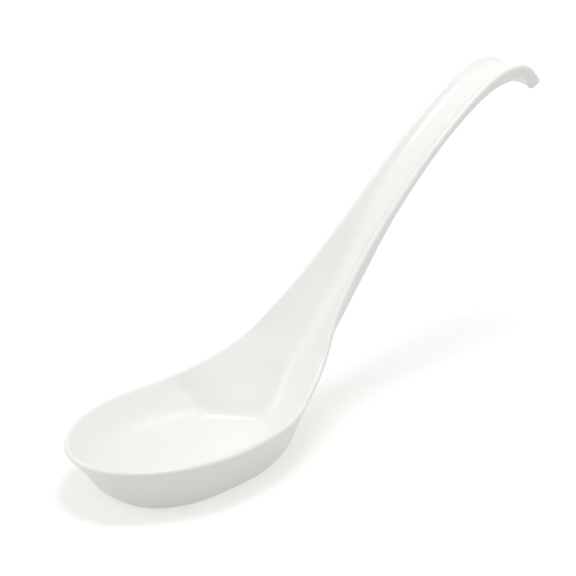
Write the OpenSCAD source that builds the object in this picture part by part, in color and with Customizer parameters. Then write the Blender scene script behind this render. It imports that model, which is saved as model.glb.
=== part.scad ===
// Long-handled Asian soup spoon: a flat-footed oval bowl, a throat that narrows into a
// dished handle, and a hook at the end that hangs the spoon on the rim of a pot or bowl.
// X runs from the bowl to the handle, Z is up, and the foot rests on the XY plane.

/* [Bowl] */
// Full width of the bowl across its rim
bowl_w = 44.5; // [38:0.5:54]
// From the widest place of the bowl forward to the tip of the rim
bowl_front = 32.8; // [28:0.2:42]
// Height of the rim over the surface that the spoon rests on
rim_h = 13.4; // [9:0.2:15]
// Thickness of the floor of the bowl
floor_t = 3; // [2:0.1:4]
// Half the width of the floor, to the corner that its wall would make with it
floor_half = 15.2; // [12:0.5:17]
// The same corner, from the widest place towards the tip
floor_front = 20.5; // [16:0.5:26]
// Half the width of the foot, to the corner that the outer wall would make with it
foot_half = 15.2; // [14.4:0.2:17]
// The same corner of the foot, from the widest place towards the tip
foot_front = 21.2; // [19:0.2:24]
// How far the round between floor and wall reaches to each side of their corner
floor_round = 6; // [2:0.5:8]
// How far the round under the outer wall reaches to each side of its corner
foot_round = 3; // [1:0.5:4]
// How far the outer wall hollows inward on its way from the foot up to the rim
wall_hollow = 0.3; // [0:0.1:0.6]

/* [Throat] */
// Length of the rim line from the widest place of the bowl to the root of the handle
throat_len = 49; // [40:1:60]
// Steepest slope of the crowned underside beside its middle, in degrees
keel_angle = 32; // [20:1:38]
// Rise of the rim line at the root of the handle, in degrees
throat_angle = 45.5; // [35:0.5:50]
// Depth of the valley down the middle of the throat, under the rim line
throat_d = 6; // [4:0.2:8]

/* [Handle] */
// Width of the handle
handle_w = 11.8; // [10:0.2:16]
// Length of the handle along the rim line, between throat and hook
handle_len = 63; // [40:1:90]
// Rise of the handle at its middle, in degrees
handle_angle = 37.6; // [32:0.5:42]
// Depth of the channel down the middle of the handle
channel_d = 1.7; // [1:0.1:2.4]
// Thickness of the handle under its channel
handle_t = 2; // [1.6:0.1:3]

/* [Hook] */
// Length of the hook along the rim line
hook_len = 35.8; // [28:1:46]
// Fall of the hook at its tip, in degrees
hook_angle = 53; // [36:1:70]
// Thickness of the hook under its channel
hook_t = 1.9; // [1.4:0.1:2.6]
// Thickness of the tip of the hook, in the middle of its width
tip_t = 2.5; // [2:0.1:3.6]

/* [Edge] */
// Thickness of the rounded edge along the whole rim
rim_t = 1.6; // [1.2:0.1:2.2]

/* [Hidden] */
shell_colour = [0.95, 0.95, 0.93];

// How far the shell reaches below the foot before the foot is cut flat
overrun = 0.8;

// Points of the floor, its corner round and the wall, on each half of a section
floor_steps = 4;
round_steps = 6;
wall_steps = 5;
side_points = floor_steps + round_steps + wall_steps;
lip_steps = 4;
half_points = 2 * side_points + lip_steps - 1;
ring_points = 2 * half_points + 2;

// Rings along each stretch, and spokes round the front of the bowl
throat_rings = 40;
handle_rings = 20;
hook_rings = 26;
nose_rings = 6;
front_spokes = 28;

// How far round the end of the tip its last ring lies, in degrees
nose_angle = 82;

// Places along the rim line: 0 is the widest place of the bowl, 1 the root of the handle,
// 2 the root of the hook and 3 the start of the rounded end
line_ends = [0, throat_len, throat_len + handle_len, throat_len + handle_len + hook_len];
function along(place) = lookup(place, [for (i = [0:3]) [i, line_ends[i]]]);

// A curve through the rows [place, value] of a table, with no corner at any row
function slope(t, i) =
    i == 0 || i == len(t) - 1 ? 0 : (t[i + 1][1] - t[i - 1][1]) / (t[i + 1][0] - t[i - 1][0]);
function row_before(t, s, i = 0) = i >= len(t) - 2 || s < t[i + 1][0] ? i : row_before(t, s, i + 1);
function ease(t, i, s) =
    let (h = t[i + 1][0] - t[i][0], u = max(0, min(1, (s - t[i][0]) / h)))
    t[i][1] * (1 - 3 * u * u + 2 * u * u * u) + t[i + 1][1] * (3 * u * u - 2 * u * u * u)
    + h * (slope(t, i) * (u - 2 * u * u + u * u * u) + slope(t, i + 1) * (u * u * u - u * u));
function curve(t, s) = ease(t, row_before(t, s), s);
function placed(shares, low, high) = [for (r = shares) [along(r[0]), low + (high - low) * r[1]]];
function step01(u) = let (v = max(0, min(1, u))) v * v * (3 - 2 * v);

// Width of the spoon along the rim line, as shares from the handle's width to the bowl's
width_shares = [[0, 1], [0.2, 0.95], [0.4, 0.843], [0.6, 0.617], [0.8, 0.402], [1, 0.22],
                [1.17, 0.108], [1.4, 0.032], [1.7, 0], [2, 0], [3, 0]];
half_widths = placed(width_shares, handle_w / 2, bowl_w / 2);

// Rise of the rim line, as shares of the throat's rise, the handle's and the hook's fall
throat_climb_shares = [[0, 0], [0.22, 0.03], [0.4, 0.29], [0.6, 0.51], [0.86, 1]];
handle_climb_shares = [[1, 1.1], [1.25, 1.05], [1.5, 1], [1.75, 0.955], [2, 0.79], [2.25, 0.67], [2.5, 0.29]];
hook_dip_shares = [[2.7, 0.13], [3, 1]];
rises = concat(
    [for (r = throat_climb_shares) [along(r[0]), r[1] * throat_angle]],
    [for (r = handle_climb_shares) [along(r[0]), r[1] * handle_angle]],
    [for (r = hook_dip_shares) [along(r[0]), -r[1] * hook_angle]]
);

rim_steps = 300;
rim_step = line_ends[3] / rim_steps;
rim_line = [for (i = 0, p = [0, rim_h]; i <= rim_steps;
                 i = i + 1, r = curve(rises, (i - 0.5) * rim_step), p = p + rim_step * [cos(r), sin(r)]) p];
function rim(s) =
    let (f = s / rim_step, i = min(floor(f), rim_steps - 1))
    rim_line[i] + (f - i) * (rim_line[i + 1] - rim_line[i]);

// The floor line: level in the bowl, then up the throat until it runs at the channel's depth
channel_shares = [[0, 1], [0.76, 1], [1, 1.03], [1.2, 0.78], [1.35, 0.46], [1.5, 0.17], [1.7, 0.02],
                  [2, 0], [2.5, -0.03], [2.75, -0.13], [3, -0.3]];
channel_depths = placed(channel_shares, channel_d, throat_d);
floor_lead = 1.5;
floor_lead_share = 0.5;
throat_start_share = 0.54;
throat_end_share = 0.75;
function blend(s) = step01((s / throat_len - throat_start_share) / (throat_end_share - throat_start_share));
function channel(s) =
    let (r = curve(rises, s))
    rim(s) + curve(channel_depths, s) * [sin(r), -cos(r)];
function level(s) = [rim(s)[0] + floor_lead * step01(s / throat_len / floor_lead_share), floor_t];
function floor_line(s) = level(s) + blend(s) * (channel(s) - level(s));

// Brings the highest value of t * t * (1 - t) up to one
hollow_form = 27 / 4;

// Most of a floor that its corner round may take
round_limit_share = 0.9;

// One side of a section: out along a floor that starts level at the height mid and has
// risen to the angle crown at its corner, round the corner, and up a wall that runs tangent
// into the rounded edge. The edge is a circle, and side is 1 where the wall meets it from
// inside the spoon and -1 where it meets it from outside. The wall may hollow towards the other
// side, more and more up to two thirds of its way, and back again to meet the edge.
function side_line(mid, out, crown, edge, edge_r, side, round, hollow = 0) =
    let (
        reach = min(round, out * round_limit_share),
        along_floor = [cos(crown), sin(crown)],
        corner = [out, mid + (out - reach * cos(crown)) * tan(crown) / 2 + reach * sin(crown)],
        start = corner - reach * along_floor,
        across = edge - corner,
        turn = atan2(across[1], across[0]) + side * asin(edge_r / norm(across)),
        up = [cos(turn), sin(turn)],
        wall = sqrt(across * across - edge_r * edge_r),
        radius = reach / tan((turn - crown) / 2),
        centre = start + radius * [-sin(crown), cos(crown)],
        low = corner + reach * up
    )
    concat(
        [for (i = [1:floor_steps]) let (y = start[0] * i / floor_steps)
            [y, mid + (start[1] - mid) * (y / start[0]) ^ 2]],
        [for (i = [1:round_steps]) let (a = crown + (turn - crown) * i / round_steps)
            centre + radius * [sin(a), -cos(a)]],
        [for (i = [1:wall_steps]) let (t = i / wall_steps)
            low + (wall - reach) * up * t + hollow * hollow_form * t * t * (1 - t) * [-up[1], up[0]]]
    );

// Half a section, from the middle of the floor out to the rim and back under to the middle
function half_section(half_w, depth, thick, floor_out, floor_r, foot_out, foot_r, keel, hollow) =
    let (
        r = rim_t / 2,
        edge = [half_w - r, -r],
        inner = side_line(-depth, floor_out, 0, edge, r, 1, floor_r),
        outer = side_line(-depth - thick, foot_out, keel, edge, r, -1, foot_r, hollow),
        from = inner[side_points - 1] - edge,
        to = outer[side_points - 1] - edge,
        a0 = atan2(from[1], from[0]),
        a1 = atan2(to[1], to[0])
    )
    concat(
        inner,
        [for (i = [1:lip_steps - 1]) let (a = a0 + (a1 - a0) * i / lip_steps) edge + r * [cos(a), sin(a)]],
        [for (i = [side_points - 1:-1:0]) outer[i]]
    );

// Half width of the floor to its corner, as shares of the bowl's: it closes to a valley
// in the throat, and opens again to the flat floor of the channel
floor_shares = [[0, 1], [0.2, 0.95], [0.35, 0.87], [0.395, 0.78], [0.48, 0.46], [0.55, 0.2], [0.62, 0.09],
                [1, 0.1], [1.4, 0.17], [1.7, 0.2], [2.8, 0.2], [3, 0.13]];
floor_halves = placed(floor_shares, 0, floor_half);
round_shares = [[0, 1], [0.35, 0.8], [0.5, 0.45], [0.65, 0.28], [1, 0.25], [3, 0.25]];
floor_rounds = placed(round_shares, 0, floor_round);
// The same for the underside
foot_shares = [[0, 1], [0.2, 0.955], [0.4, 0.77], [0.6, 0.55], [0.8, 0.53], [1, 0.51], [1.2, 0.436],
               [1.5, 0.38], [2, 0.364], [2.5, 0.358], [3, 0.353]];
foot_halves = placed(foot_shares, 0, foot_half);
foot_round_shares = [[0, 1], [0.5, 1.2], [0.8, 0.9], [1.2, 0.7], [1.5, 0.5], [2, 0.45], [3, 0.45]];
foot_rounds = placed(foot_round_shares, 0, foot_round);
hollow_shares = [[0, 1], [0.3, 1], [0.6, 0], [3, 0]];
wall_hollows = placed(hollow_shares, 0, wall_hollow);
// How steep the underside has become at its corner: crowned in the throat, arched at the tip
keel_shares = [[0, 0], [0.46, 0], [0.64, 0.7], [0.8, 1], [1, 1], [1.3, 0.65], [1.6, 0.4],
               [2, 0.3], [2.4, -0.15], [2.7, -0.7], [3, -0.8]];
keels = placed(keel_shares, 0, keel_angle);

// Thickness under the middle line, as shares from the handle's to the floor's, then from the
// handle's to the hook's, and last from the hook's to what the tip needs
floor_thick_shares = [[0, 1], [0.35, 1], [0.8, 0], [3, 0]];
floor_thicks = placed(floor_thick_shares, handle_t, floor_t + overrun);
hook_thick_shares = [[0, 0], [2.55, 0], [2.88, 1], [3, 1]];
hook_thicks = placed(hook_thick_shares, 0, hook_t - handle_t);
tip_extra = tip_t - curve(channel_depths, line_ends[3]) - hook_t;
tip_run_share = 2;
function tip_near(s) = step01(1 - (line_ends[3] - s) / (tip_run_share * tip_t));
function thickness(s) = curve(floor_thicks, s) + curve(hook_thicks, s) + tip_extra * tip_near(s);

// Half of section s along the rim line
function section(s) =
    half_section(curve(half_widths, s), norm(rim(s) - floor_line(s)), thickness(s), curve(floor_halves, s),
                 curve(floor_rounds, s), curve(foot_halves, s), curve(foot_rounds, s), curve(keels, s),
                 curve(wall_hollows, s));

// Puts a half section into the side view at s, and mirrors it. The nose turns the section
// into the rounded end of the tip: 0 leaves it as it is, and 90 degrees closes it.
function ring(s, nose = 0) =
    let (
        top = rim(s),
        low = floor_line(s),
        deep = norm(top - low),
        up = (top - low) / deep,
        thick = thickness(s),
        middle = -(deep + thick) / 2,
        half_w = curve(half_widths, s),
        narrow = 1 - (1 - cos(nose)) * tip_t / 2 / half_w,
        reach = tip_t / 2 * sin(nose) * [up[1], -up[0]],
        at = function (y, n)
            let (m = middle + (n - middle) * cos(nose), q = top + reach + up * m)
            [q[0], y * narrow, q[1]],
        half = section(s)
    )
    concat(
        [at(0, -deep)],
        [for (p = half) at(p[0], p[1])],
        [at(0, -deep - thick)],
        [for (i = [len(half) - 1:-1:0]) at(-half[i][0], half[i][1])]
    );

// Front of the bowl: spokes that turn from one side over the tip to the other. The floor's
// round is a little larger at the tip than at the sides. The rim is a true ellipse there, and
// the outline of the foot is fuller: the power of its sines and cosines is lower.
front_round_share = 1.3;
foot_power = 0.82;
side_half = section(0);
front_half = half_section(bowl_front, rim_h - floor_t, floor_t + overrun, floor_front,
                          floor_round * front_round_share, foot_front, foot_round, 0, wall_hollow);
function fullness(i) = 1 + (foot_power - 1) * max(0, min(1, (i - side_points - lip_steps + 1) / wall_steps));
function spoke(a) =
    [for (i = [0:half_points - 1]) let (k = fullness(i))
        [-front_half[i][0] * pow(max(0, cos(a)), k), side_half[i][0] * sign(sin(a)) * pow(abs(sin(a)), k),
         rim_h + side_half[i][1] * sin(a) * sin(a) + front_half[i][1] * cos(a) * cos(a)]];

// Faces
function skin(rings) =
    [for (j = [0:rings - 2], i = [0:ring_points - 1])
        let (a = j * ring_points + i, b = j * ring_points + (i + 1) % ring_points)
        each [[a, b, b + ring_points], [a, b + ring_points, a + ring_points]]];

function cap(base, flip) =
    let (
        far = function (i) base + i,
        near = function (i) base + (ring_points - i) % ring_points,
        strip = [for (side = [0, 1], i = [0:side_points - 1])
            let (
                at = side == 0 ? far : near,
                a = at(i),
                b = at(i + 1),
                c = at(half_points - i),
                d = at(half_points + 1 - i)
            )
            each (side == 0 ? [[a, b, c], [a, c, d]] : [[c, b, a], [d, c, a]])],
        lips = [for (side = [0, 1])
            let (at = side == 0 ? far : near, f = [for (i = [side_points:side_points + lip_steps]) at(i)])
            side == 0 ? f : [for (i = [lip_steps:-1:0]) f[i]]],
        all = concat(strip, lips)
    )
    flip ? all : [for (f = all) [for (i = [len(f) - 1:-1:0]) f[i]]];

module stretch(from, to, rings, nose = 0) {
    body = [for (j = [0:rings]) each ring(from + (to - from) * j / rings)];
    end = [for (j = [1:1:nose]) each ring(to, nose_angle * j / nose)];
    last = (rings + nose) * ring_points;
    polyhedron(concat(body, end), concat(skin(rings + nose + 1), cap(0, false), cap(last, true)));
}

module bowl_shell() {
    places = [for (j = [0:throat_rings]) throat_len * j / throat_rings];
    rear = [for (s = places) each ring(s)];
    front = [for (k = [1:front_spokes - 1]) each spoke(90 - 180 * k / front_spokes)];
    at = function (k, i)
        k == 0 ? i : k == front_spokes ? ring_points - i : len(rear) + (k - 1) * half_points + i - 1;
    front_faces = [for (k = [0:front_spokes - 1])
        each concat(
            [[0, at(k + 1, 1), at(k, 1)], [half_points + 1, at(k, half_points), at(k + 1, half_points)]],
            [for (i = [1:half_points - 1])
                each [
                    [at(k, i), at(k + 1, i), at(k + 1, i + 1)],
                    [at(k, i), at(k + 1, i + 1), at(k, i + 1)]
                ]]
        )];
    last = throat_rings * ring_points;
    polyhedron(concat(rear, front), concat(skin(throat_rings + 1), cap(last, true), front_faces));
}

module bowl() {
    color(shell_colour)
        difference() {
            bowl_shell();
            translate([-2 * bowl_front, -bowl_w, -2 * overrun])
                cube([2 * bowl_front + 2 * throat_len, 2 * bowl_w, 2 * overrun]);
        }
}

module handle() {
    color(shell_colour)
        stretch(line_ends[1], line_ends[2], handle_rings);
}

module hook() {
    color(shell_colour)
        stretch(line_ends[2], line_ends[3], hook_rings, nose_rings);
}

bowl();
handle();
hook();
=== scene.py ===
# %% [markdown]
# # A hooked soup spoon in glossy white
#
# The real spoon is one pressing of hard white resin: an oval bowl on a flat foot, a throat that
# folds into a valley, a dished handle, and a hook that hangs it on the rim of a pot. Nothing on
# it moves, and nothing is fastened to it, so the whole lesson is about one skin. It has to be
# smooth everywhere, because a gloss surface shows every ripple as a broken reflection.
#
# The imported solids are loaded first. They are the fixed frame: everything built here has to lie
# where they lie, and inside the box that they fill.

import math

import bmesh
import bpy
from mathutils import Matrix, Vector


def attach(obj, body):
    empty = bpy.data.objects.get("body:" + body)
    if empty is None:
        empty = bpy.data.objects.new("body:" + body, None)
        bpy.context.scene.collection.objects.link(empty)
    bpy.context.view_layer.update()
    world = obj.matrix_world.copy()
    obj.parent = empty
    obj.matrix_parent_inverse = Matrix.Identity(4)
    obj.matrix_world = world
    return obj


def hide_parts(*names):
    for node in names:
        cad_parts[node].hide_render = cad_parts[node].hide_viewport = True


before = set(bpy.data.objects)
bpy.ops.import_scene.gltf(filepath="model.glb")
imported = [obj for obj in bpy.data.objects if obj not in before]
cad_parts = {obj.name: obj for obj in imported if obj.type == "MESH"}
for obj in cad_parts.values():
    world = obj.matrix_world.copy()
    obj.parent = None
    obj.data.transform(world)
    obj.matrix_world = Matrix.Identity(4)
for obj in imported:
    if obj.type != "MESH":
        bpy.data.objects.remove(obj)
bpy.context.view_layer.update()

# %% [markdown]
# ## The sizes that a maker would give
#
# A spoon like this is drawn from a handful of sizes. The rim is followed from the widest place of
# the bowl to the rounded tip of the hook, and everything else hangs from that one line. The
# sizes are in millimetres and degrees, because that is how such a drawing is dimensioned, and the
# lengths turn into metres only when the points are made. Two of the bowl's sizes are plain shares.

# %% Sizes of the bowl in millimetres
MM = 0.001
bowl_w = 44.5          # across the rim at its widest place
bowl_front = 32.8      # from the widest place to the tip of the bowl
rim_h = 13.4           # the rim over the table
rim_t = 1.6            # the lip, which is rounded right over
floor_t = 3.0
floor_half = 15.2      # from the middle of the floor to its corner, sideways
floor_front = 20.5     # and forwards
floor_round = 6.0      # how far the round in that corner reaches
front_round = 1.3      # a share: how many times as far it reaches at the tip of the bowl
foot_half = 15.2       # from the middle of the foot to its corner, sideways
foot_front = 21.2      # and forwards
foot_round = 3.0       # how far the round in that corner reaches
foot_fullness = 0.18   # a share: how much fuller than an ellipse the foot is at the front
wall_hollow = 0.3      # how far the outer wall hollows
crease_d = 0.62        # how deep the crease in the inner wall would be with a sharp bottom
below = 0.8            # the shell is drawn this far under the foot, and then flattened
print("the bowl is %.1f mm wide and %.1f mm high" % (bowl_w, rim_h))

# %% Sizes of the throat, the handle and the hook
throat_len = 49.0      # the three lengths run along the rim line
throat_angle = 45.5    # where the throat is steepest
throat_d = 6.0         # how far the bottom of the valley lies under the rim
keel_angle = 32.0      # how steeply the underside of the throat is crowned
handle_len = 63.0
handle_angle = 37.6    # halfway up
handle_w = 11.8
handle_t = 2.0
channel_d = 1.7        # how far the bottom of the channel lies under the rim
hook_len = 35.8
hook_angle = 53.0      # downwards, at the tip
hook_t = 1.9
tip_t = 2.5            # from the rim to the underside at the rounded tip
line_ends = [0.0, throat_len, throat_len + handle_len, throat_len + handle_len + hook_len]
print("the rim line from the bowl's widest place to the tip is", line_ends[3], "mm long")

# %% [markdown]
# ## Fair curves through a few rows
#
# A boat builder bends a thin batten past a few nails and trusts it to be smooth in between. The
# function below does the same: a table has rows of place and share, and the curve passes every row
# without a corner. Places count along the rim line: 0 is the bowl's widest place, 1 the root of
# the handle, 2 the root of the hook and 3 the place where the rounded end of the tip starts.

# %% The batten
def step01(u):
    v = max(0.0, min(1.0, u))
    return v * v * (3 - 2 * v)


def along(place):
    i = min(2, int(place))
    return line_ends[i] + (place - i) * (line_ends[i + 1] - line_ends[i])


def placed(shares, low, high):
    return [(along(place), low + (high - low) * share) for place, share in shares]


def curve(rows, s):
    i = 0
    while i < len(rows) - 2 and s >= rows[i + 1][0]:
        i += 1
    (s0, v0), (s1, v1) = rows[i], rows[i + 1]
    m0 = 0.0 if i == 0 else (v1 - rows[i - 1][1]) / (s1 - rows[i - 1][0])
    m1 = 0.0 if i + 2 == len(rows) else (rows[i + 2][1] - v0) / (rows[i + 2][0] - s0)
    h = s1 - s0
    u = max(0.0, min(1.0, (s - s0) / h))
    return (v0 * (1 - 3 * u * u + 2 * u ** 3) + v1 * (3 * u * u - 2 * u ** 3)
            + h * (m0 * (u - 2 * u * u + u ** 3) + m1 * (u ** 3 - u * u)))


print("halfway between 0 and 1 the batten stands at", curve([(0, 0), (1, 1)], 0.5))

# %% [markdown]
# ## The rim line
#
# Seen from the side, the rim starts level round the bowl, climbs through the throat, runs up the
# handle at a little under 40 degrees, and rolls over into the hook. It could be drawn as points,
# but a drawn line wobbles. Its steepness is given instead, and small steps are added up in that
# direction, so that the line can't have a kink.

# %% Steepness along the rim, and the line that follows from it
RIM_STEPS = 600


def steep(angle, shares):
    return [(along(place), share * angle) for place, share in shares]


rises = (steep(throat_angle, ((0, 0), (0.22, 0.03), (0.4, 0.29), (0.6, 0.51), (0.86, 1)))
         + steep(handle_angle, ((1, 1.1), (1.25, 1.05), (1.5, 1), (1.75, 0.955), (2, 0.79),
                                (2.25, 0.67), (2.5, 0.29)))
         + steep(-hook_angle, ((2.7, 0.13), (3, 1))))
rim_step = line_ends[3] / RIM_STEPS
rim_points = [Vector((0, rim_h))]
for i in range(RIM_STEPS):
    r = math.radians(curve(rises, (i + 0.5) * rim_step))
    rim_points.append(rim_points[-1] + rim_step * Vector((math.cos(r), math.sin(r))))


def rim(s):
    f = s / rim_step
    i = min(int(f), RIM_STEPS - 1)
    return rim_points[i].lerp(rim_points[i + 1], f - i)


print("the hook ends at x %.1f, z %.1f mm" % tuple(rim_points[-1]))

# %% [markdown]
# ## The widths
#
# On the real spoon the widths could be taken with calipers at a few places. They are given in the
# same way along the rim line: for the rim, for the flat of the floor and for the flat of the
# underside. The rounds in the corners of the floor and of the foot have rows of their own, because
# a corner doesn't tighten in step with the width.

# %% Half widths and corner rounds along the rim line
half_widths = placed([(0, 1), (0.2, 0.95), (0.4, 0.843), (0.6, 0.617), (0.8, 0.402), (1, 0.22),
                      (1.17, 0.108), (1.4, 0.032), (1.7, 0), (2, 0), (3, 0)],
                     handle_w / 2, bowl_w / 2)
floor_halves = placed([(0, 1), (0.2, 0.95), (0.35, 0.87), (0.395, 0.78), (0.48, 0.46), (0.55, 0.2),
                       (0.62, 0.09), (1, 0.1), (1.4, 0.17), (1.7, 0.2), (2.8, 0.2), (3, 0.13)],
                      0, floor_half)
floor_rounds = placed([(0, 1), (0.35, 0.8), (0.5, 0.45), (0.65, 0.28), (1, 0.25), (3, 0.25)],
                      0, floor_round)
foot_halves = placed([(0, 1), (0.2, 0.955), (0.4, 0.77), (0.6, 0.55), (0.8, 0.53), (1, 0.51),
                      (1.2, 0.436), (1.5, 0.38), (2, 0.364), (2.5, 0.358), (3, 0.353)],
                     0, foot_half)
foot_rounds = placed([(0, 1), (0.5, 1.2), (0.8, 0.9), (1.2, 0.7), (1.5, 0.5), (2, 0.45), (3, 0.45)],
                     0, foot_round)
print("the handle is %.1f mm wide halfway up" % (2 * curve(half_widths, along(1.5))))

# %% [markdown]
# ## The floor line, the walls and the thickness
#
# Under the rim runs the floor. It is level in the bowl, turns up where the throat begins, and then
# follows the rim at the depth of the valley, which gets shallower until it is the channel of the
# handle. The outer wall of the bowl hollows a little. Where the inner wall turns from the bowl
# into the throat, it gives way by half a millimetre, and that shallow crease catches the light.
# The rows of the crease fall off like a square on both sides, which leaves the walls next to it
# straight and makes the turn tight. The keel is the slope of the underside towards its middle.

# %% Depths, hollows, keel and thicknesses along the rim line
valley_depths = placed([(0, 1), (0.76, 1), (1, 1.03), (1.2, 0.78), (1.35, 0.46), (1.5, 0.17),
                        (1.7, 0.02), (2, 0), (2.5, -0.03), (2.75, -0.13), (3, -0.3)],
                       channel_d, throat_d)
wall_hollows = placed([(0, 1), (0.3, 1), (0.6, 0), (3, 0)], 0, wall_hollow)
creases = placed([(0, 0), (0.225, 0), (0.28, 0.06), (0.305, 0.25), (0.325, 0.49), (0.34, 0.72),
                  (0.355, 0.9), (0.37, 0.72), (0.385, 0.49), (0.405, 0.25), (0.43, 0.06),
                  (0.485, 0), (3, 0)], 0, crease_d)
keels = placed([(0, 0), (0.46, 0), (0.64, 0.7), (0.8, 1), (1, 1), (1.3, 0.65), (1.6, 0.4), (2, 0.3),
                (2.4, -0.15), (2.7, -0.7), (3, -0.8)], 0, keel_angle)
floor_thicks = placed([(0, 1), (0.35, 1), (0.8, 0), (3, 0)], handle_t, floor_t + below)
hook_thicks = placed([(0, 0), (2.55, 0), (2.88, 1), (3, 1)], 0, hook_t - handle_t)
tip_extra = tip_t - curve(valley_depths, line_ends[3]) - hook_t
print("the crease is %.2f mm deep" % max(depth for place, depth in creases))

# %% Floor line and thickness at any place
floor_back = 1.5            # how far the floor of a section leans back, towards the handle
back_by = 0.5               # the share of the throat at which it leans back fully
valley_from = 0.54          # the share of the throat at which the level floor starts to turn up
valley_by = 0.75            # and the share at which it has become the valley


def floor_line(s):
    r = math.radians(curve(rises, s))
    valley = rim(s) + curve(valley_depths, s) * Vector((math.sin(r), -math.cos(r)))
    level = Vector((rim(s).x + floor_back * step01(s / throat_len / back_by), floor_t))
    return level.lerp(valley, step01((s / throat_len - valley_from) / (valley_by - valley_from)))


def thickness(s):
    near_tip = step01(1 - (line_ends[3] - s) / (2 * tip_t))
    return curve(floor_thicks, s) + curve(hook_thicks, s) + tip_extra * near_tip


print("floor %.2f mm, handle %.2f mm, hook %.2f mm thick" % (
    thickness(0) - below, thickness(along(1.5)), thickness(along(2.88))))

# %% [markdown]
# ## One side of a section
#
# Cut the spoon across anywhere and the cut looks alike: a floor, a round corner and a wall up to
# the lip, and the same again on the outside. A real mould is cut with round tools, so the corners
# are true arcs and the walls run tangent into them and into the lip. A hollow bends the wall to
# one side. It starts flat at the corner, and a higher fade makes it end more gently at the lip.

# %% From the middle of the floor to the lip
FLOOR, ROUND, WALL, LIP = 5, 9, 6, 6   # steps on each stretch
widest_round = 0.9                     # the round leaves at least a tenth of the floor flat


def side_line(mid, out, crown, edge, edge_r, side, round_reach, hollow, fade):
    reach = min(round_reach, widest_round * out)
    slope = Vector((math.cos(crown), math.sin(crown)))
    corner = Vector((out, mid + (out - reach * slope.x) * math.tan(crown) / 2 + reach * slope.y))
    start = corner - reach * slope
    across = edge - corner
    turn = math.atan2(across.y, across.x) + side * math.asin(edge_r / across.length)
    up = Vector((math.cos(turn), math.sin(turn)))
    wall = math.sqrt(across.length_squared - edge_r ** 2)
    radius = reach / math.tan((turn - crown) / 2)
    centre = start + radius * Vector((-slope.y, slope.x))
    points = []
    for i in range(1, FLOOR + 1):
        points.append(Vector((start.x * i / FLOOR, mid + (start.y - mid) * (i / FLOOR) ** 2)))
    for i in range(1, ROUND + 1):
        a = crown + (turn - crown) * i / ROUND
        points.append(centre + radius * Vector((math.sin(a), -math.cos(a))))
    low = corner + reach * up
    deepest = (2 + fade) ** (2 + fade) / (4 * fade ** fade)   # makes the hollow as deep as it says
    for i in range(1, WALL + 1):
        t = i / WALL
        bow = hollow * deepest * t * t * (1 - t) ** fade
        points.append(low + (wall - reach) * t * up + bow * Vector((-up.y, up.x)))
    return points


plain_dish = side_line(mid=0.0, out=10.0, crown=0.0, edge=Vector((15.0, 8.0)), edge_r=rim_t / 2,
                       side=1, round_reach=3.0, hollow=0.0, fade=1)
print("one side of a plain dish has", len(plain_dish), "points")

# %% [markdown]
# ## Half a section
#
# The inner side goes up to the lip, the lip goes round, and the outer side, taken backwards, goes
# down again. Half a section is enough, because the other half is its mirror image. The crease is a
# hollow of the inner wall, turned away from the soup, and the outer wall has a hollow of its own.

# %% From the middle of the floor over the lip to the middle of the underside
inner_fade, outer_fade = 2, 1


def half_section(half_w, depth, thick, floor_out, floor_r, foot_out, foot_r, keel, hollow, crease):
    r = rim_t / 2
    edge = Vector((half_w - r, -r))
    inner = side_line(-depth, floor_out, 0.0, edge, r, 1, floor_r, -crease, inner_fade)
    outer = side_line(-depth - thick, foot_out, keel, edge, r, -1, foot_r, hollow, outer_fade)
    a0, a1 = (math.atan2((p - edge).y, (p - edge).x) for p in (inner[-1], outer[-1]))
    lip = []
    for i in range(1, LIP):
        a = a0 + (a1 - a0) * i / LIP
        lip.append(edge + r * Vector((math.cos(a), math.sin(a))))
    return [Vector((0, -depth))] + inner + lip + outer[::-1] + [Vector((0, -depth - thick))]


def section(s):
    depth = (rim(s) - floor_line(s)).length
    return half_section(curve(half_widths, s), depth, thickness(s), curve(floor_halves, s),
                        curve(floor_rounds, s), curve(foot_halves, s), curve(foot_rounds, s),
                        math.radians(curve(keels, s)), curve(wall_hollows, s), curve(creases, s))


side_half = section(0.0)
front_half = half_section(bowl_front, rim_h - floor_t, floor_t + below, floor_front,
                          front_round * floor_round, foot_front, foot_round, 0.0, wall_hollow, 0.0)
print("half a section has", len(side_half), "points")

# %% [markdown]
# ## Stations, from the tip of the bowl to the tip of the hook
#
# A boat is drawn in stations, which are its sections one behind the other. The front of the bowl
# has stations that turn like the spokes of a fan, from the tip round to the widest place. The rim
# is a true ellipse there. The foot under it is fuller, so its sines and cosines are taken to a
# lower power.

# %% A spoke of the fan
def fullness(i):
    lip_end = FLOOR + ROUND + WALL + LIP
    return 1 - foot_fullness * max(0.0, min(1.0, (i - lip_end) / WALL))


def spoke(a):
    c, s = math.cos(a), math.sin(a)
    points = []
    for i, (w, f) in enumerate(zip(side_half, front_half)):
        k = fullness(i)
        points.append(Vector((-f.x * c ** k, w.x * s ** k, rim_h + w.y * s * s + f.y * c * c)))
    return points


print("the tip of the bowl is at x %.1f mm" % min(p.x for p in spoke(0.0)))

# %% [markdown]
# From the widest place the stations march along the rim, each with its middle on the floor line,
# and at the very end they turn down round the tip until the inner and outer skins meet. In that
# last turn each inner point slides to the same place across as its partner outside, so that the
# skins can be welded without a seam.

# %% A station along the rim, and one that turns down round the tip
def station(s, nose=0.0):
    top, low, half = rim(s), floor_line(s), section(s)
    up = (top - low).normalized()
    middle = (half[0].y + half[-1].y) / 2
    turn = math.cos(nose)
    shut = 1 - turn
    narrow = 1 - shut * tip_t / 2 / curve(half_widths, s)
    ahead = tip_t / 2 * math.sin(nose) * Vector((up.y, -up.x))
    points = []
    for p, partner in zip(half, reversed(half)):
        q = top + ahead + up * (middle + (p.y - middle) * turn)
        points.append(Vector((q.x, narrow * (p.x + (partner.x - p.x) * shut / 2), q.y)))
    return points


print("the valley ends %.1f mm over the table" % station(line_ends[1])[0].z)

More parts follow.
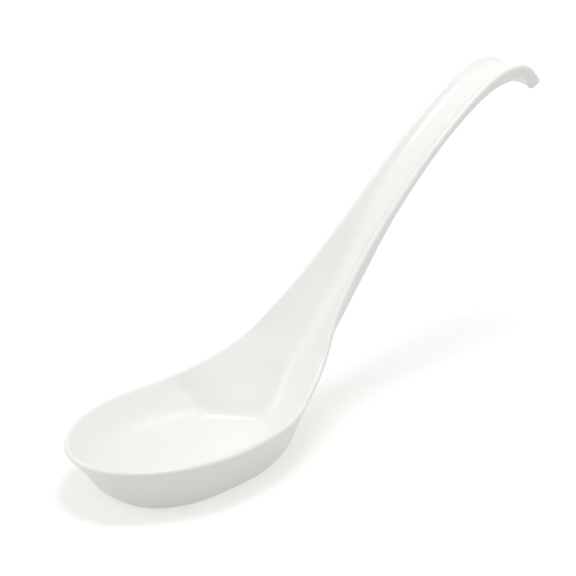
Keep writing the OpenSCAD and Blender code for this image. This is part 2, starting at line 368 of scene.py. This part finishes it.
# %% Points of every station
FAN, THROAT, HANDLE, HOOK, NOSE = 20, 60, 30, 44, 9   # how many stations each stretch has

stations = [spoke(math.radians(90 * k / FAN)) for k in range(FAN)]
for start, end, count in zip(line_ends, line_ends[1:], (THROAT, HANDLE, HOOK)):
    stations += [station(start + (end - start) * k / count) for k in range(count)]
stations += [station(line_ends[3], math.radians(90 * k / NOSE)) for k in range(NOSE + 1)]
for points in stations:
    for p in points:
        p.z = max(0.0, p.z)          # the foot is flat
print(len(stations), "stations of", len(stations[0]), "points")

# %% [markdown]
# ## Plank the hull with Geometry Nodes
#
# The points could be joined into faces by hand, but planking is a rule, and a rule belongs in a
# node tree that can be reused. The first step lays a grid with as many rows as the section has
# points and as many columns as there are stations, and moves every grid point to the drawn point
# of the same number.

# %% Lay the grid on the drawn points
def add(tree, kind, **settings):
    node = tree.nodes.new(kind)
    for name, value in settings.items():
        setattr(node, name, value)
    return node


def wire(tree, source, sink):
    tree.links.new(source, sink)


def lay_grid(tree, given):
    grid = add(tree, "GeometryNodeMeshGrid")
    wire(tree, given.outputs["Section points"], grid.inputs["Vertices X"])
    wire(tree, given.outputs["Stations"], grid.inputs["Vertices Y"])
    pick = add(tree, "GeometryNodeSampleIndex", data_type="FLOAT_VECTOR", domain="POINT")
    wire(tree, given.outputs["Drawn points"], pick.inputs["Geometry"])
    wire(tree, add(tree, "GeometryNodeInputPosition").outputs[0], pick.inputs["Value"])
    wire(tree, add(tree, "GeometryNodeInputIndex").outputs[0], pick.inputs["Index"])
    move = add(tree, "GeometryNodeSetPosition")
    wire(tree, grid.outputs["Mesh"], move.inputs["Geometry"])
    wire(tree, pick.outputs[0], move.inputs["Position"])
    return move.outputs[0]


print("the grid will have", len(stations) * len(stations[0]), "points")

# %% [markdown]
# The grid is half a spoon. The next step mirrors it, turns the faces of the mirror image back
# round, and welds the two halves along the middle and at the end of the tip. The last one smooths
# the skin, makes every instance real, because an export drops instances, and gives the skin its
# finish.

# %% Mirror and weld, then smooth and paint
def mirror_and_weld(tree, given, half):
    mirror = add(tree, "GeometryNodeTransform")
    mirror.inputs["Scale"].default_value = (1, -1, 1)
    wire(tree, half, mirror.inputs["Geometry"])
    turned = add(tree, "GeometryNodeFlipFaces")
    wire(tree, mirror.outputs[0], turned.inputs["Mesh"])
    both = add(tree, "GeometryNodeJoinGeometry")
    wire(tree, half, both.inputs[0])
    wire(tree, turned.outputs[0], both.inputs[0])
    weld = add(tree, "GeometryNodeMergeByDistance")
    wire(tree, both.outputs[0], weld.inputs["Geometry"])
    wire(tree, given.outputs["Weld distance"], weld.inputs["Distance"])
    return weld.outputs[0]


def smooth_and_paint(tree, given, welded):
    smooth = add(tree, "GeometryNodeSubdivisionSurface")
    wire(tree, welded, smooth.inputs["Mesh"])
    wire(tree, given.outputs["Smoothing"], smooth.inputs["Level"])
    shade = add(tree, "GeometryNodeSetShadeSmooth")
    wire(tree, smooth.outputs[0], shade.inputs["Geometry"])
    real = add(tree, "GeometryNodeRealizeInstances")
    wire(tree, shade.outputs[0], real.inputs["Geometry"])
    paint = add(tree, "GeometryNodeSetMaterial")
    wire(tree, real.outputs[0], paint.inputs["Geometry"])
    wire(tree, given.outputs["Finish"], paint.inputs["Material"])
    return paint.outputs[0]


print("welding leaves about", 2 * len(stations) * (len(stations[0]) - 1), "points")

# %% [markdown]
# The tree joins these steps. Its named inputs say how many rows and columns there are, how close
# two points must be to be welded, how often to smooth, and which finish the skin gets.

# %% The planking tree
tree_inputs = (("Drawn points", "NodeSocketGeometry"), ("Section points", "NodeSocketInt"),
               ("Stations", "NodeSocketInt"), ("Weld distance", "NodeSocketFloat"),
               ("Smoothing", "NodeSocketInt"), ("Finish", "NodeSocketMaterial"))


def planking_tree():
    tree = bpy.data.node_groups.new("plank_the_hull", "GeometryNodeTree")
    inputs = {}
    for name, kind in tree_inputs:
        inputs[name] = tree.interface.new_socket(name, in_out="INPUT", socket_type=kind)
    tree.interface.new_socket("Skin", in_out="OUTPUT", socket_type="NodeSocketGeometry")
    given, result = add(tree, "NodeGroupInput"), add(tree, "NodeGroupOutput")
    welded = mirror_and_weld(tree, given, lay_grid(tree, given))
    wire(tree, smooth_and_paint(tree, given, welded), result.inputs[0])
    return tree, inputs


planks, plank_inputs = planking_tree()
print("the planking tree has inputs", list(plank_inputs))

# %% [markdown]
# ## The resin
#
# Pressed melamine is a warm white that is nearly even, with a gloss that is hard but not wet. A
# flat colour would look like paper, so a few things have to vary over the surface. Two helpers
# make that short: clouds are soft noise of a given size, and a spread turns the middle of that
# noise into the range of values that a socket should get. The clouds read Object coordinates,
# which are metres on the piece itself.

# %% Clouds and their spread
def clouds(tree, size, detail):
    noise = add(tree, "ShaderNodeTexNoise")
    noise.inputs["Scale"].default_value = 1 / (size * MM)
    noise.inputs["Detail"].default_value = detail
    wire(tree, add(tree, "ShaderNodeTexCoord").outputs["Object"], noise.inputs["Vector"])
    return noise.outputs["Fac"]


def spread(tree, value, low, high, from_low=0.3, from_high=0.7):
    scale = add(tree, "ShaderNodeMapRange")
    ends = {"From Min": from_low, "From Max": from_high, "To Min": low, "To Max": high}
    for name, number in ends.items():
        scale.inputs[name].default_value = number
    wire(tree, value, scale.inputs["Value"])
    return scale.outputs["Result"]


white_low, white_high = (0.900, 0.897, 0.873, 1), (0.915, 0.913, 0.893, 1)
drift_size, scuff_size, roll_size = 28, 9, 2.2    # millimetres
print("the white drifts by", round(white_high[0] - white_low[0], 3), "over", drift_size, "mm")

# %% [markdown]
# Three things vary. The white drifts by about two parts in a hundred over a few centimetres. Fine
# scuffs from washing up make the roughness change in cloudy patches, and it is higher under the
# foot, where the spoon slides on the table. The surface also rolls very slightly, as any pressing
# does, and a shallow bump for that gives the reflections a living edge. What is the same all over,
# such as the thin clear coat, is set on the shader itself.

# %% Glossy white resin
dull_low, dull_high = 0.29, 0.37   # roughness between the scuffs and on them
worn_more = 0.2                    # how much rougher the foot is
worn_from, worn_to = 0.1, 0.9      # millimetres over the table, between which that fades
roll_share = 0.12                  # how strongly the bump is applied
roll_height = 0.02                 # millimetres


def resin_finish():
    finish = bpy.data.materials.new("glossy_white_resin")
    finish.use_nodes = True
    tree = finish.node_tree
    resin = tree.nodes["Principled BSDF"]
    white = add(tree, "ShaderNodeMix", data_type="RGBA")
    white.inputs["A"].default_value = white_low
    white.inputs["B"].default_value = white_high
    wire(tree, spread(tree, clouds(tree, drift_size, detail=3), 0, 1), white.inputs["Factor"])
    wire(tree, white.outputs["Result"], resin.inputs["Base Color"])

    height = add(tree, "ShaderNodeSeparateXYZ")
    wire(tree, add(tree, "ShaderNodeTexCoord").outputs["Object"], height.inputs[0])
    worn_foot = spread(tree, height.outputs["Z"], worn_more, 0.0, worn_from * MM, worn_to * MM)
    dull = add(tree, "ShaderNodeMath", operation="ADD")
    scuffs = clouds(tree, scuff_size, detail=5)
    wire(tree, spread(tree, scuffs, dull_low, dull_high), dull.inputs[0])
    wire(tree, worn_foot, dull.inputs[1])
    wire(tree, dull.outputs[0], resin.inputs["Roughness"])

    roll = add(tree, "ShaderNodeBump")
    roll.inputs["Strength"].default_value = roll_share
    roll.inputs["Distance"].default_value = roll_height * MM
    wire(tree, clouds(tree, roll_size, detail=2), roll.inputs["Height"])
    wire(tree, roll.outputs["Normal"], resin.inputs["Normal"])
    resin.inputs["IOR"].default_value = 1.52
    resin.inputs["Coat Weight"].default_value = 0.15
    resin.inputs["Coat Roughness"].default_value = 0.16
    return finish


resin = resin_finish()
print("finish", resin.name, "with", len(resin.node_tree.nodes), "nodes")

# %% [markdown]
# ## Run the tree and keep a plain mesh
#
# The drawn points go in as a cloud of loose vertices, row by row. The inputs are set by their
# identifiers before anything is evaluated. What comes out is kept as an ordinary mesh, and the
# modifier is taken off.

# %% Run the planking tree
weld_distance = 0.002              # millimetres


def drawn_points():
    cloud = bpy.data.meshes.new("drawn_points")
    rows = [points[i] * MM for i in range(len(stations[0])) for points in stations]
    cloud.from_pydata(rows, [], [])
    piece = bpy.data.objects.new("spoon_shell", cloud)
    bpy.context.scene.collection.objects.link(piece)
    return piece


def plank(piece, finish):
    skin = piece.modifiers.new("planks", "NODES")
    skin.node_group = planks
    values = {"Section points": len(stations[0]), "Stations": len(stations),
              "Weld distance": weld_distance * MM, "Smoothing": 1, "Finish": finish}
    for name, value in values.items():
        skin[plank_inputs[name].identifier] = value
    piece.update_tag()
    view = bpy.context.evaluated_depsgraph_get()
    plain = bpy.data.meshes.new_from_object(piece.evaluated_get(view))
    piece.modifiers.remove(skin)
    piece.data = plain


spoon = drawn_points()
plank(spoon, resin)
print("the skin has", len(spoon.data.vertices), "points")

# %% [markdown]
# ## Turn the skin outwards and put it in place
#
# A mirror can leave a closed skin inside out, and then its gloss looks wrong and its volume is
# negative, so the faces are turned to look outwards. An open edge would be a hole, so the open
# edges are counted and printed. The skin then stands for the three solids and rides on their body.

# %% The skin of the spoon
def face_outwards(piece):
    hull = bmesh.new()
    hull.from_mesh(piece.data)
    bmesh.ops.recalc_face_normals(hull, faces=hull.faces)
    if hull.calc_volume(signed=True) < 0:
        bmesh.ops.reverse_faces(hull, faces=hull.faces)
    open_edges = sum(1 for edge in hull.edges if not edge.is_manifold)
    print(piece.name, "has", len(hull.faces), "faces,", open_edges, "open edges and",
          round(hull.calc_volume() * 1e6, 2), "cm3")
    hull.to_mesh(piece.data)
    hull.free()


face_outwards(spoon)
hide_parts("bowl", "handle", "hook")
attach(spoon, "root")

# %% [markdown]
# ## The table
#
# The photograph shows a plain white ground that has burnt out to paper white, with a soft grey
# shadow under the bowl and a faint one that fades away under the raised handle. More light would
# burn out the spoon as well, so the ground gets its white in another way. What the camera and the
# reflections see is part plain paper, which takes the shadow, and part glow, which lifts it to
# white. What lights the spoon from below is a darker paper with a smaller glow. Together they
# throw up about as much light as white paper would, but more evenly, because the glow is there in
# the shadow too.

# %% Paper with a glow, and who sees it
def sees_white(tree):
    path = add(tree, "ShaderNodeLightPath")
    first = add(tree, "ShaderNodeMath", operation="MAXIMUM")
    second = add(tree, "ShaderNodeMath", operation="MAXIMUM")
    wire(tree, path.outputs["Is Camera Ray"], first.inputs[0])
    wire(tree, path.outputs["Is Glossy Ray"], first.inputs[1])
    wire(tree, first.outputs[0], second.inputs[0])
    wire(tree, path.outputs["Is Transmission Ray"], second.inputs[1])
    return second.outputs[0]


def glowing_paper(tree, paper, glow, tint):
    plain, light = add(tree, "ShaderNodeBsdfDiffuse"), add(tree, "ShaderNodeEmission")
    plain.inputs["Color"].default_value = (paper, paper, paper, 1)
    light.inputs["Color"].default_value = tint
    light.inputs["Strength"].default_value = glow
    both = add(tree, "ShaderNodeAddShader")
    wire(tree, plain.outputs[0], both.inputs[0])
    wire(tree, light.outputs[0], both.inputs[1])
    return light, both


ground_half = 2.5                          # metres
paper_below, glow_below = 0.47, 0.245      # what lights the spoon from below
paper_seen, glow_seen = 0.65, 0.41         # what the camera and the reflections see
print("the ground will be", 2 * ground_half, "m square")

# %% [markdown]
# Further out, the lamps light the paper less, and the seen glow grows to make up for it. The glow
# is a little warm, as the shadow in the photograph is. That shows only in the shadow, because the
# open paper is burnt out.

# %% White ground that keeps its shadow
glow_tint = (1.0, 0.993, 0.955, 1)
grows_from, grows_to = 0.25, 1.2           # metres from the spoon


def ground_finish():
    finish = bpy.data.materials.new("white_ground")
    finish.use_nodes = True
    tree = finish.node_tree
    tree.nodes.remove(tree.nodes["Principled BSDF"])
    low_sheet = glowing_paper(tree, paper_below, glow_below, glow_tint)[1]
    seen_light, seen_sheet = glowing_paper(tree, paper_seen, glow_seen, glow_tint)
    away = add(tree, "ShaderNodeVectorMath", operation="LENGTH")
    wire(tree, add(tree, "ShaderNodeTexCoord").outputs["Object"], away.inputs[0])
    grown = spread(tree, away.outputs["Value"], glow_seen, 2 * glow_seen, grows_from, grows_to)
    wire(tree, grown, seen_light.inputs["Strength"])
    either = add(tree, "ShaderNodeMixShader")
    wire(tree, sees_white(tree), either.inputs[0])
    wire(tree, low_sheet.outputs[0], either.inputs[1])
    wire(tree, seen_sheet.outputs[0], either.inputs[2])
    wire(tree, either.outputs[0], tree.nodes["Material Output"].inputs["Surface"])
    return finish


ground_mesh = bpy.data.meshes.new("ground")
corners = [(x * ground_half, y * ground_half, 0) for x, y in ((-1, -1), (1, -1), (1, 1), (-1, 1))]
ground_mesh.from_pydata(corners, [], [(0, 1, 2, 3)])
ground = bpy.data.objects.new("ground", ground_mesh)
ground.data.materials.append(ground_finish())
bpy.context.scene.collection.objects.link(ground)
print("the ground has", len(ground.data.polygons), "face")

# %% [markdown]
# ## The room
#
# Most of the light comes from a bright room. It is dim at table height, brightest a third of the
# way up, and brighter towards the tip of the bowl than behind the hook. A colour ramp gives the
# level by height, and a second factor swings it from side to side. Where the camera or a
# reflection looks past the table, it meets the same plain white as the table has.

# %% A bright room
room_levels = [(0.0, 0.12), (0.2, 0.5), (0.34, 0.9), (0.64, 0.82), (0.86, 0.4), (1.0, 0.6)]
room_middle, room_swing = 0.96, 0.22
plain_white = (1, 1, 1, 1)


def room_strength(tree):
    split, level = add(tree, "ShaderNodeSeparateXYZ"), add(tree, "ShaderNodeValToRGB")
    wire(tree, add(tree, "ShaderNodeTexCoord").outputs["Generated"], split.inputs[0])
    wire(tree, split.outputs["Z"], level.inputs["Fac"])
    steps = level.color_ramp.elements
    while len(steps) < len(room_levels):
        steps.new(0.5)
    for step, (height, grey) in zip(steps, room_levels):
        step.position = height
        step.color = (grey, grey, grey, 1)
    side = add(tree, "ShaderNodeMath", operation="MULTIPLY")
    wire(tree, split.outputs["X"], side.inputs[0])
    side.inputs[1].default_value = -room_swing
    swing = add(tree, "ShaderNodeMath", operation="ADD")
    wire(tree, side.outputs[0], swing.inputs[0])
    swing.inputs[1].default_value = room_middle
    both = add(tree, "ShaderNodeMath", operation="MULTIPLY")
    wire(tree, level.outputs["Color"], both.inputs[0])
    wire(tree, swing.outputs[0], both.inputs[1])
    return both.outputs[0]


def light_the_room():
    world = bpy.data.worlds.new("bright_room")
    bpy.context.scene.world = world
    world.use_nodes = True
    tree = world.node_tree
    lit, white = tree.nodes["Background"], add(tree, "ShaderNodeBackground")
    lit.inputs["Color"].default_value = plain_white
    wire(tree, room_strength(tree), lit.inputs["Strength"])
    white.inputs["Color"].default_value = plain_white
    white.inputs["Strength"].default_value = 1.0
    either = add(tree, "ShaderNodeMixShader")
    wire(tree, sees_white(tree), either.inputs[0])
    wire(tree, lit.outputs[0], either.inputs[1])
    wire(tree, white.outputs[0], either.inputs[2])
    wire(tree, either.outputs[0], tree.nodes["World Output"].inputs["Surface"])
    return world


room = light_the_room()
print("the room", room.name, "has", len(room_levels), "levels")

# %% [markdown]
# ## The lamps
#
# The shadow of the handle falls almost straight below it and is soft, so one wide lamp hangs
# overhead. A soft light band runs down the crease between the bowl and the throat and on along the
# rear of the floor, so a second soft lamp stands high up at the right. The near side of the throat
# is paler than the far side, so a third one stands across from it, at the left and lower down.

# %% A wide lamp overhead and a soft one on either side
middle = Vector((0.045, 0, 0.02))      # metres, about the middle of the spoon
lamps = {                              # direction from the middle, distance, width and watts
    "overhead": ((0.06, -0.06, 1.0), 0.9, 0.32, 2.4),
    "left": ((-0.6, 0.65, 0.45), 0.8, 0.4, 0.7),
    "right": ((0.5, -0.45, 0.7), 0.8, 0.3, 0.5),
}


def hang_lamp(name, towards, away, width, watts):
    disk = bpy.data.lights.new(name, "AREA")
    disk.shape, disk.size, disk.energy = "DISK", width, watts
    lamp = bpy.data.objects.new(name, disk)
    lamp.location = middle + away * Vector(towards)
    lamp.rotation_euler = (middle - lamp.location).to_track_quat("-Z", "Y").to_euler()
    bpy.context.scene.collection.objects.link(lamp)


for name, settings in lamps.items():
    hang_lamp(name, *settings)
print("lamps", list(lamps))

# %% [markdown]
# ## The camera
#
# The direction, distance and lens were recovered from the photograph: the rim of the bowl is the
# same on both sides, and only one viewpoint makes it look the way it does. It is a long lens about
# 70 cm away, which looks down by a little more than 22 degrees from the front left. The eye is
# placed from the middle of the bowl's rim: to the right, up, and then a long way back.

# %% Camera at the photograph's viewpoint
camera_back = Vector((-0.67605, -0.62822, 0.38510))
camera_right = Vector((0.68072, -0.73254, 0.0))
camera_up = Vector((0.28210, 0.26215, 0.92287))
eye_right, eye_up, eye_back = 24.99, 31.46, 686.0          # millimetres
film_w, picture_w, focal_px = 36.0, 576, 2882.6            # millimetres, then two in pixels

eye = (Vector((0, 0, rim_h)) + eye_right * camera_right + eye_up * camera_up
       + eye_back * camera_back)
lens = bpy.data.cameras.new("photo_view")
lens.sensor_fit, lens.sensor_width = "HORIZONTAL", film_w
lens.lens = film_w * focal_px / picture_w
lens.clip_start, lens.clip_end = 0.05, 20
camera = bpy.data.objects.new("photo_view", lens)
bpy.context.scene.collection.objects.link(camera)
turn = Matrix((camera_right, camera_up, camera_back)).transposed()
camera.matrix_world = Matrix.Translation(eye * MM) @ turn.to_4x4()
bpy.context.scene.camera = camera
bpy.context.scene.view_settings.view_transform = "Standard"
print("the camera is %.0f mm away with a %.0f mm lens" % (eye.length, lens.lens))
